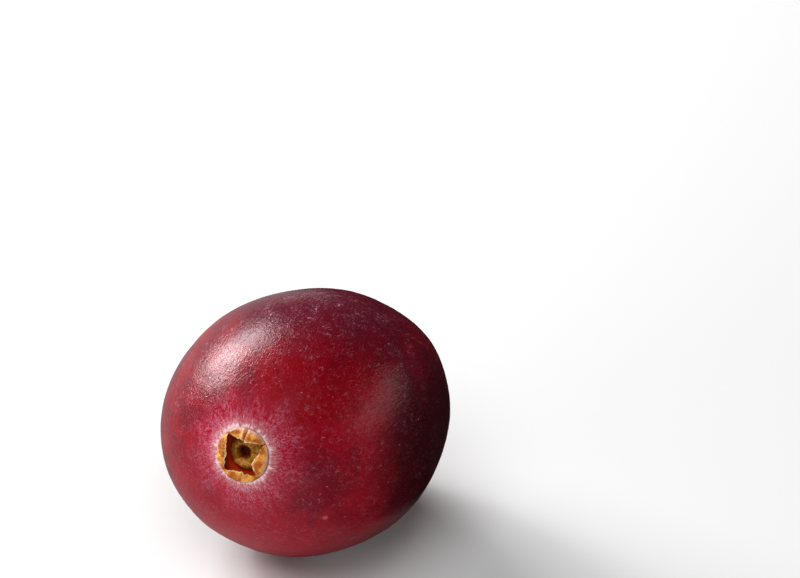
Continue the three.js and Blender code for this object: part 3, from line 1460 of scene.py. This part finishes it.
    def covers(self, rows: int) -> np.ndarray:
        """What each face is covered with: the quads row by row, then the triangles of both ends in turn.

        Args:
            rows: Number of rows of points.

        Returns:
            The numbers of the faces' materials.
        """
        last_quad = (rows - 1) * self.columns
        covers = np.full(last_quad + 2 * self.columns, Cover.SKIN, dtype=np.int32)
        covers[: (self.basin_steps - self.collar_steps) * self.columns] = Cover.BASIN
        covers[(rows - 1 - self.socket_steps) * self.columns : last_quad] = Cover.SCAR
        covers[last_quad::2] = Cover.BASIN
        covers[last_quad + 1 :: 2] = Cover.SCAR
        return covers

    def build(self) -> bpy.types.Object:
        """Makes the berry and dresses its skin, its basin and its scar.

        Returns:
            The piece.
        """
        basin = self.basin_outline()
        socket = self.socket_outline()
        outline = np.concatenate((basin[1:], self.skin_outline(), socket[:-1]))
        body = turned(outline, self.columns)
        tips = [[0.0, basin[0, 1], 0.0], [0.0, socket[-1, 1], 0.0]]
        smooth = self.grow_uneven(np.concatenate((body.flat(), tips)))
        self.lie.set_down(smooth)
        points = self.lie.rest(self.lie.place(self.weather(smooth)))
        piece = make_piece("berry_skin", points, body.faces(flip=True) + body.end_fans())
        piece.data.polygons.foreach_set("material_index", self.covers(len(outline)))
        skin = SkinFinish(self.lie).material()
        tissue = BasinFinish(self.lie, self.hole_shift).material()
        scar = StalkFinish(self.lie).socket_material()
        fit_out(piece, SOLID_BERRY, "skin", skin, tissue, scar)
        return piece


# ---------------------------------------------------------------------------------------------------------
# The calyx
# ---------------------------------------------------------------------------------------------------------


@dataclass(frozen=True)
class Sepal:
    """One dried lobe of the calyx, standing in the mouth of the basin and curled in over it.

    Angles are round the axis from X towards Z, in degrees; lengths are in millimetres, and heights are from
    the collar plane outwards.

    Attributes:
        name: The solid that it stands for.
        middle: Angle of the middle of its foot.
        half: Half the angle of its foot.
        tip_angle: Angle of its tip.
        tip_radius: Distance of its tip from the axis.
        tip_height: Height of its tip.
        crease: Place of its sharpest fold across the lobe, -1 to 1.
        crease_depth: Depth of that fold, 0 to 1.
        fold: How far the side beyond the crease drops.
        pale: Share of its length, from the collar up, that is pale like the collar.
        seed: Its own share of the noise.
    """

    name: str
    middle: float
    half: float
    tip_angle: float
    tip_radius: float
    tip_height: float
    crease: float
    crease_depth: float
    fold: float
    pale: float
    seed: float

    def foot(self, across: np.ndarray) -> np.ndarray:
        """Angle of the foot, in radians, at each place across the lobe, -1 to 1."""
        return np.radians(self.middle + across * (self.half - 1.0))

    def edge(self, across: np.ndarray, corner_radius: float) -> tuple[np.ndarray, np.ndarray]:
        """Free edge of the lobe, seen along the axis: a line from corner to tip to corner, torn a little.

        Args:
            across: Places across the lobe, -1 to 1.
            corner_radius: Distance of its corners from the axis.

        Returns:
            The edge's x and z.
        """
        tip = math.radians(self.tip_angle)
        side = self.foot(np.sign(across))
        share = np.abs(across) ** 0.92
        line = np.outer(across, (3.0, 0.0, 0.0))
        torn = 1.0 + 0.09 * grain(line, 0.6, self.seed) + 0.04 * grain(line, 0.17, self.seed + 4)
        notch = 0.16 * self.crease_depth * bell(across - self.crease, 0.05)
        radius = self.tip_radius * torn + notch
        x = radius * math.cos(tip) * (1 - share) + corner_radius * np.cos(side) * share
        z = radius * math.sin(tip) * (1 - share) + corner_radius * np.sin(side) * share
        return x, z


@dataclass
class Calyx:
    """The four dried sepals.

    Lengths are in millimetres.

    Attributes:
        lie: The lie of the fruit.
        collar_plane: Distance of the collar from the fruit's middle.
        wall_radius: Radius at which the sepals stand.
        foot_height: Height of their feet from the collar plane.
        crown_height: Height of their corners from the collar plane.
        thickness: Their thickness at the foot.
        edge_thickness: Their thickness at the free edge.
        root_share: Share of their length that stands upright in the basin.
        bulge: How far they bulge out above the collar.
        waves: Depth of their crumpling.
        ribs: Depth of their ribs.
        ridge_gap: How far across the lobe from a crease its ridge runs, of half the lobe.
        across_steps: Steps across a sepal.
        along_steps: Steps along a sepal.
        sepals: The sepals.
    """

    lie: Lie
    collar_plane: float
    wall_radius: float = 1.51
    foot_height: float = -0.42
    crown_height: float = 0.04
    thickness: float = 0.1
    edge_thickness: float = 0.045
    root_share: float = 0.34
    bulge: float = 0.08
    waves: float = 0.13
    ribs: float = 0.025
    ridge_gap: float = 0.14
    across_steps: int = 72
    along_steps: int = 44
    sepals: tuple[Sepal, ...] = (
        Sepal("sepal_upper", 87, 49, 94, 0.84, 0.44, -0.02, 1.0, 0.2, 0.46, 1.0),
        Sepal("sepal_right", -4, 42, -17, 0.8, 0.46, 0.25, 0.1, 0.16, 0.42, 11.0),
        Sepal("sepal_lower", -89, 43, -83, 1.0, 0.34, 0.1, 0.45, 0.15, 0.28, 23.0),
        Sepal("sepal_left", -178, 46, -180, 0.93, 0.36, -0.15, 0.25, 0.16, 0.17, 37.0),
    )

    def across(self) -> np.ndarray:
        """Places of the columns across a sepal, -1 to 1."""
        return np.linspace(-1.0, 1.0, self.across_steps + 1)

    def along(self) -> np.ndarray:
        """Places of the rows along a sepal, 0 at its foot to 1 at its free edge."""
        return np.linspace(0.0, 1.0, self.along_steps + 1)

    def sheet(self, sepal: Sepal) -> np.ndarray:
        """Middle sheet of a sepal, as rows from its foot to its free edge.

        Args:
            sepal: The sepal.

        Returns:
            Rows by columns by three points in the fruit's frame.
        """
        across = self.across()
        foot = sepal.foot(across)
        foot_x, foot_z = self.wall_radius * np.cos(foot), self.wall_radius * np.sin(foot)
        edge_x, edge_z = sepal.edge(across, self.wall_radius - 0.03)
        reach = np.hypot(edge_x - foot_x, edge_z - foot_z)
        full = np.clip(reach / (self.wall_radius - sepal.tip_radius), 0, 1.1) ** 0.8
        top = self.crown_height + (sepal.tip_height - self.crown_height) * full
        beyond = ease(across, sepal.crease - 0.05, sepal.crease + 0.12)
        lower = sepal.fold * beyond * (1 - np.abs(across))
        rows = []
        for share in self.along():
            free = max(0.0, (share - self.root_share) / (1 - self.root_share))
            rooted = min(1.0, share / self.root_share)
            inward = free**2.1
            rise = math.sin(free * math.pi * 0.56)
            swell = self.bulge * math.sin(math.pi * min(1.0, free * 1.6)) * np.clip(reach / 0.4, 0.35, 1.0)
            x = foot_x + (edge_x - foot_x) * inward + swell * np.cos(foot)
            z = foot_z + (edge_z - foot_z) * inward + swell * np.sin(foot)
            height = self.foot_height * (1 - rooted) + top * rise - lower * free**1.5
            rows.append(np.stack((x, -self.collar_plane - height, z), axis=1))
        return np.array(rows)

    def crumple(self, sheet: np.ndarray, sepal: Sepal) -> np.ndarray:
        """Wrinkles a sheet as it dried: ribs along it, waves across it and a sharp crease.

        Args:
            sheet: The even sheet.
            sepal: The sepal.

        Returns:
            The wrinkled sheet.
        """
        share, across = np.meshgrid(self.along(), self.across(), indexing="ij")
        free = np.clip((share - self.root_share) / (1 - self.root_share), 0, 1)
        flat = np.stack((across * 1.2, share * 0.8, 0.0 * share), axis=2).reshape(-1, 3)
        waves = grain(flat, 0.35, sepal.seed + 2).reshape(share.shape)
        ribs = grain(flat * (1, 0.25, 1), 0.09, sepal.seed + 3).reshape(share.shape)
        valley = bell(across - sepal.crease, 0.06)
        ridge = bell(across - sepal.crease - self.ridge_gap, 0.08)
        crease = sepal.crease_depth * (0.1 * ridge - 0.2 * valley)
        amount = free**0.7 * (self.waves * waves + self.ribs * ribs + crease)
        wrinkled = sheet.copy()
        push_out(wrinkled, sepal.foot(across), amount * 0.6)
        wrinkled[:, :, 1] -= amount * 0.8
        return wrinkled

    def thicken(self, sheet: np.ndarray) -> tuple[np.ndarray, Faces]:
        """Turns a sheet into a thin closed body.

        Args:
            sheet: The middle sheet.

        Returns:
            The points of the outer side and then of the inner side, and the faces.
        """
        rows, columns = sheet.shape[:2]
        normal = np.cross(np.gradient(sheet, axis=1), np.gradient(sheet, axis=0))
        normal /= np.maximum(np.linalg.norm(normal, axis=2, keepdims=True), 1e-9)
        half = (self.thickness + (self.edge_thickness - self.thickness) * self.along()) / 2
        offset = normal * half[:, None, None]
        outer, inner = Lattice(sheet + offset), Lattice(sheet - offset)
        count = rows * columns
        faces = outer.faces() + inner.faces(count, flip=True)
        border = [(0, column) for column in range(columns)]
        border += [(row, columns - 1) for row in range(1, rows)]
        border += [(rows - 1, column) for column in range(columns - 2, -1, -1)]
        border += [(row, 0) for row in range(rows - 2, 0, -1)]
        ring = [row * columns + column for row, column in border]
        for here, there in zip(ring, ring[1:] + ring[:1]):
            faces.append((here, here + count, there + count, there))
        return np.concatenate((outer.flat(), inner.flat())), faces

    def mark(self, mesh: bpy.types.Mesh, sepal: Sepal) -> None:
        """Stores at each point the numbers that the finish reads.

        Args:
            mesh: The sepal's mesh: its outer side's points, then its inner side's.
            sepal: The sepal.
        """
        share, across = np.meshgrid(self.along(), self.across(), indexing="ij")
        none = np.zeros_like(share)
        rim = ease(1.0 - share, 0.07, 0.015)
        rib = across * sepal.half / 45
        foot = ease(share, self.root_share + sepal.pale, self.root_share + 0.4 * sepal.pale)
        creased = sepal.crease_depth * ease(share, self.root_share, 0.8)
        # Painted shade along the crease.
        valley = creased * bell(across - sepal.crease, 0.05)
        # Painted highlight on the ridge beside the crease.
        ridge = creased * bell(across - sepal.crease - self.ridge_gap, 0.06)
        sides = {
            Mark.RIM: (rim, rim),
            Mark.INSIDE: (none, none + 1.0),
            Mark.RIB: (rib, rib),
            Mark.FOOT: (foot, none),
            Mark.VALLEY: (valley, none),
            Mark.RIDGE: (ridge, none),
        }
        for mark, (outer, inner) in sides.items():
            values = np.concatenate((outer.ravel(), inner.ravel())).astype(np.float32)
            mesh.attributes.new(mark.value, "FLOAT", "POINT").data.foreach_set("value", values)

    def build_sepal(self, sepal: Sepal, finish: bpy.types.Material) -> bpy.types.Object:
        """Makes one sepal as a thin closed sheet and dresses it.

        Args:
            sepal: The sepal.
            finish: Its material.

        Returns:
            The piece.
        """
        points, faces = self.thicken(self.crumple(self.sheet(sepal), sepal))
        piece = make_piece(sepal.name + "_dried", self.lie.place(points), faces)
        self.mark(piece.data, sepal)
        fit_out(piece, sepal.name, "sepal", finish)
        return piece

    def build(self) -> list[bpy.types.Object]:
        """Makes the four sepals."""
        finish = SepalFinish(self.lie, self.collar_plane).material()
        return [self.build_sepal(sepal, finish) for sepal in self.sepals]


# ---------------------------------------------------------------------------------------------------------
# The stalk stub
# ---------------------------------------------------------------------------------------------------------


@dataclass
class StalkStub:
    """The broken stub of the stalk, seated in the scar at the stem end.

    Lengths are in millimetres, and depths are below the round body's end.

    Attributes:
        lie: The lie of the fruit.
        back_length: Distance of the round body's end from its middle.
        radius: Radius of the stub.
        top_depth: Depth of its broken end.
        foot_depth: Depth of its foot.
        frayed_from: Distances below the round body's end at which the fraying starts and is full.
        columns: Points round the stub.
        steps: Steps along its outline.
    """

    lie: Lie
    back_length: float
    radius: float = 0.47
    top_depth: float = 0.06
    foot_depth: float = 0.74
    frayed_from: Reach = (0.35, 0.1)
    columns: int = 96
    steps: int = 60

    def outline(self) -> np.ndarray:
        """Outline of the stub, from its foot to the hollow in its broken end.

        Returns:
            Rows of radius and y.
        """
        corners = [
            (0.0, self.foot_depth),
            (self.radius - 0.08, self.foot_depth),
            (self.radius - 0.01, self.foot_depth - 0.08),
            (self.radius - 0.01, self.top_depth + 0.14),
            (self.radius - 0.04, self.top_depth + 0.03),
            (0.32, self.top_depth),
            (0.18, self.top_depth + 0.1),
            (0.0, self.top_depth + 0.09),
        ]
        line = smooth_run(corners, self.steps)
        return np.stack((line[:, 0], self.back_length - line[:, 1]), axis=1)

    def fray(self, points: np.ndarray) -> None:
        """Frays the stub's broken end and shrinks its sides along the fibres.

        Args:
            points: The stub's points, which are moved.
        """
        radius, around = polar(points)
        start, full = self.frayed_from
        top = ease(points[:, 1], self.back_length - start, self.back_length - full)
        fibres = grain(points * (1, 0.15, 1), 0.085, 8.5)
        points[:, 1] += top * (0.06 * fibres + 0.05 * grain(points, 0.17, 3.9))
        push_out(points, around, -0.02 * (1 + fibres) * ease(radius, 0.3, 0.46))

    def build(self) -> bpy.types.Object:
        """Makes the stub with its frayed end and dresses it.

        Returns:
            The piece.
        """
        outline = self.outline()
        stub = turned(outline[1:-1], self.columns)
        points = stub.flat()
        self.fray(points)
        tips = [[0.0, outline[0, 1], 0.0], [0.0, outline[-1, 1], 0.0]]
        placed = self.lie.place(np.concatenate((points, tips)))
        piece = make_piece("pedicel_stub_broken", placed, stub.faces(flip=True) + stub.end_fans())
        fit_out(piece, "pedicel_stub", "pedicel", StalkFinish(self.lie).material())
        return piece


# ---------------------------------------------------------------------------------------------------------
# The studio
# ---------------------------------------------------------------------------------------------------------


def direction(azimuth: float, elevation: float) -> Vector:
    """Unit vector in the shared frame.

    Args:
        azimuth: Direction in degrees; 0 is in front and 90 to the right.
        elevation: Height above the horizon, in degrees.

    Returns:
        The unit vector.
    """
    turn, rise = math.radians(azimuth), math.radians(elevation)
    level = math.cos(rise)
    return Vector((math.sin(turn) * level, -math.cos(turn) * level, math.sin(rise)))


class Shine(Enum):
    """Whether a lamp shows in glossy reflections."""

    SEEN = True
    UNSEEN = False


@dataclass(frozen=True)
class Softbox:
    """A soft oblong lamp aimed at the fruit.

    Attributes:
        name: The lamp's name.
        azimuth: Direction it stands in, in degrees; 0 is in front and 90 to the right.
        elevation: Its height above the horizon, in degrees.
        distance: Distance from the fruit, in metres.
        width: Its width, in metres.
        height: Its height, in metres.
        power: Its power, in watts.
        shine: Whether it shows in reflections.
        roll: Turn about the line to the fruit, in degrees.
    """

    name: str
    azimuth: float
    elevation: float
    distance: float
    width: float
    height: float
    power: float
    shine: Shine = Shine.SEEN
    roll: float = 0.0

    def build(self, target: Vector) -> bpy.types.Object:
        """Makes the lamp.

        Args:
            target: The place it is aimed at, in metres.

        Returns:
            The lamp.
        """
        lamp = bpy.data.lights.new(self.name, "AREA")
        lamp.shape = "RECTANGLE"
        lamp.size, lamp.size_y = self.width, self.height
        lamp.energy = self.power
        made = bpy.data.objects.new(self.name, lamp)
        out = direction(self.azimuth, self.elevation)
        made.location = target + out * self.distance
        made.rotation_mode = "QUATERNION"
        aimed = out.to_track_quat("Z", "Y")
        made.rotation_quaternion = aimed @ Euler((0, 0, math.radians(self.roll))).to_quaternion()
        made.visible_camera = False
        made.visible_glossy = self.shine.value
        bpy.context.scene.collection.objects.link(made)
        return made


@dataclass
class Studio:
    """White board, soft lamps, dim room and the camera.

    The skin doesn't mirror the white board, which would veil its colour. Instead it mirrors a grey mat and a
    dark flag, a low curved card round the fruit's right and far sides, and nothing else sees these two.

    Attributes:
        azimuth: The camera's direction, in degrees.
        elevation: The camera's height above the horizon, in degrees.
        distance: The camera's distance from the fruit, in metres.
        view_width: Width of what it sees at the fruit, in metres.
        aim_right: How far to the right of the fruit it is aimed, in metres.
        aim_up: How far above the fruit it is aimed, in metres.
        board_size: Width of the board and of the mat, in metres.
        board: The board's finish.
        room: Strength of the room's light.
        lamps: The lamps.
        mat_height: Height of the mat above the board, in metres.
        mat: The mat's finish.
        flag: The flag's finish.
        flag_radius: Distance of the flag from the fruit's middle, in metres.
        flag_height: Height of the flag, in metres.
        flag_foot: How far the flag's foot reaches in to the fruit, as a share of its distance.
        flag_arc: Azimuths of the flag's two ends, in degrees.
        flag_taper: Angle over which the flag rises from its ends, in degrees.
    """

    azimuth: float = 24.0
    elevation: float = 37.2
    distance: float = 0.38
    view_width: float = 0.0465
    aim_right: float = 0.00552
    aim_up: float = 0.0076
    board_size: float = 1.6
    board: CardFinish = CardFinish("white_board", 0.75, 0.7, 0.2)
    room: float = 0.03
    lamps: tuple[Softbox, ...] = (
        Softbox("key_softbox", -111, 28, 0.3, 0.23, 0.13, 1.36, Shine.SEEN, -26),
        Softbox("key_core", -109, 27, 0.28, 0.05, 0.035, 0.25, Shine.SEEN, -25),
        Softbox("right_card", 108, 22, 0.3, 0.3, 0.08, 0.17),
        Softbox("overhead", 10, 66, 0.3, 0.2, 0.2, 0.48, Shine.UNSEEN),
        Softbox("low_fill", -30, 4, 0.3, 0.2, 0.1, 0.5, Shine.UNSEEN),
    )
    mat_height: float = 0.00002
    mat: CardFinish = CardFinish("grey_mat", 0.28)
    flag: CardFinish = CardFinish("dark_flag", 0.01)
    flag_radius: float = 0.02
    flag_height: float = 0.014
    flag_foot: float = 0.6
    flag_arc: Reach = (25.0, 225.0)
    flag_taper: float = 35.0

    def build_camera(self, middle: Vector) -> bpy.types.Object:
        """Makes the camera.

        Args:
            middle: The middle of the fruit's box.

        Returns:
            The camera.
        """
        back = direction(self.azimuth, self.elevation)
        right = Vector((math.cos(math.radians(self.azimuth)), math.sin(math.radians(self.azimuth)), 0))
        up = back.cross(right)
        lens = bpy.data.cameras.new("camera")
        lens.lens = lens.sensor_width * self.distance / self.view_width
        made = bpy.data.objects.new("camera", lens)
        made.location = middle + right * self.aim_right + up * self.aim_up + back * self.distance
        made.rotation_mode = "QUATERNION"
        made.rotation_quaternion = Matrix((right, up, back)).transposed().to_quaternion()
        lens.clip_start, lens.clip_end = 0.01, 10.0
        bpy.context.scene.collection.objects.link(made)
        bpy.context.scene.camera = made
        return made

    def square(self, height: float) -> np.ndarray:
        """Level square as large as the board.

        Args:
            height: Its height, in metres.

        Returns:
            Its corners.
        """
        half = self.board_size / 2
        corners = [(-half, -half), (half, -half), (half, half), (-half, half)]
        return np.array([(x, y, height) for x, y in corners])

    def build_board(self) -> None:
        """Makes the white board the fruit lies on, which the skin doesn't mirror."""
        board = make_piece("white_board", self.square(0.0), [(0, 1, 2, 3)])
        board.data.materials.append(self.board.material())
        board.visible_glossy = False

    def build_reflected(self, finish: CardFinish, points: np.ndarray, faces: Faces) -> None:
        """Makes a card that only shows in the skin's shine.

        Args:
            finish: The card's finish.
            points: Its corners, in metres.
            faces: Corner numbers of its faces.
        """
        card = make_piece(finish.name, points, faces)
        card.data.materials.append(finish.material())
        card.visible_camera = False
        card.visible_diffuse = False
        card.visible_shadow = False

    def build_flag(self) -> None:
        """Makes the dark flag: a flat foot that turns up into a low wall, tapered at both ends."""
        angles = np.linspace(*self.flag_arc, 40)
        start, end = self.flag_arc
        from_end = np.minimum(angles - start, end - angles)
        fullness = ease(from_end, 0.0, self.flag_taper)[:, None]
        on_mat = np.array((0.0, 0.0, 2.0 * self.mat_height))
        foot = np.array([direction(angle, 0.0) * self.flag_radius for angle in angles]) + on_mat
        toe = foot * (1.0 - self.flag_foot * fullness)
        toe[:, 2] = on_mat[2]
        head = foot + fullness * (0.0, 0.0, self.flag_height)
        head[:, 2] -= on_mat[2]
        flag = Lattice(np.stack((toe, foot, head)))
        self.build_reflected(self.flag, flag.flat(), flag.faces())

    def build(self) -> None:
        """Makes the camera, the board, the mat, the flag, the lamps and the room's dim light."""
        low, high = CAD_BOX
        middle = (low + high) / 2
        self.build_camera(middle)
        self.build_board()
        self.build_reflected(self.mat, self.square(self.mat_height), [(0, 1, 2, 3)])
        self.build_flag()
        for lamp in self.lamps:
            lamp.build(middle)
        world = bpy.data.worlds.new("room")
        world.use_nodes = True
        background = world.node_tree.nodes["Background"]
        background.inputs["Color"].default_value = (1, 1, 1, 1)
        background.inputs["Strength"].default_value = self.room
        bpy.context.scene.world = world
        bpy.context.scene.view_settings.view_transform = "Standard"


# ---------------------------------------------------------------------------------------------------------
# The whole scene
# ---------------------------------------------------------------------------------------------------------


def report(pieces: list[bpy.types.Object]) -> None:
    """Writes each piece's name and number of faces to the log."""
    for piece in pieces:
        logger.info("%s: %d faces", piece.name, len(piece.data.polygons))


def main() -> None:
    """Builds the fruit and the studio."""
    logging.basicConfig(level=logging.INFO)
    lie = Lie()
    berry = Berry(lie)
    report([berry.build()])
    report(Calyx(lie, berry.collar_plane).build())
    report([StalkStub(lie, berry.back_length).build()])
    Studio().build()


if __name__ == "__main__":
    main()
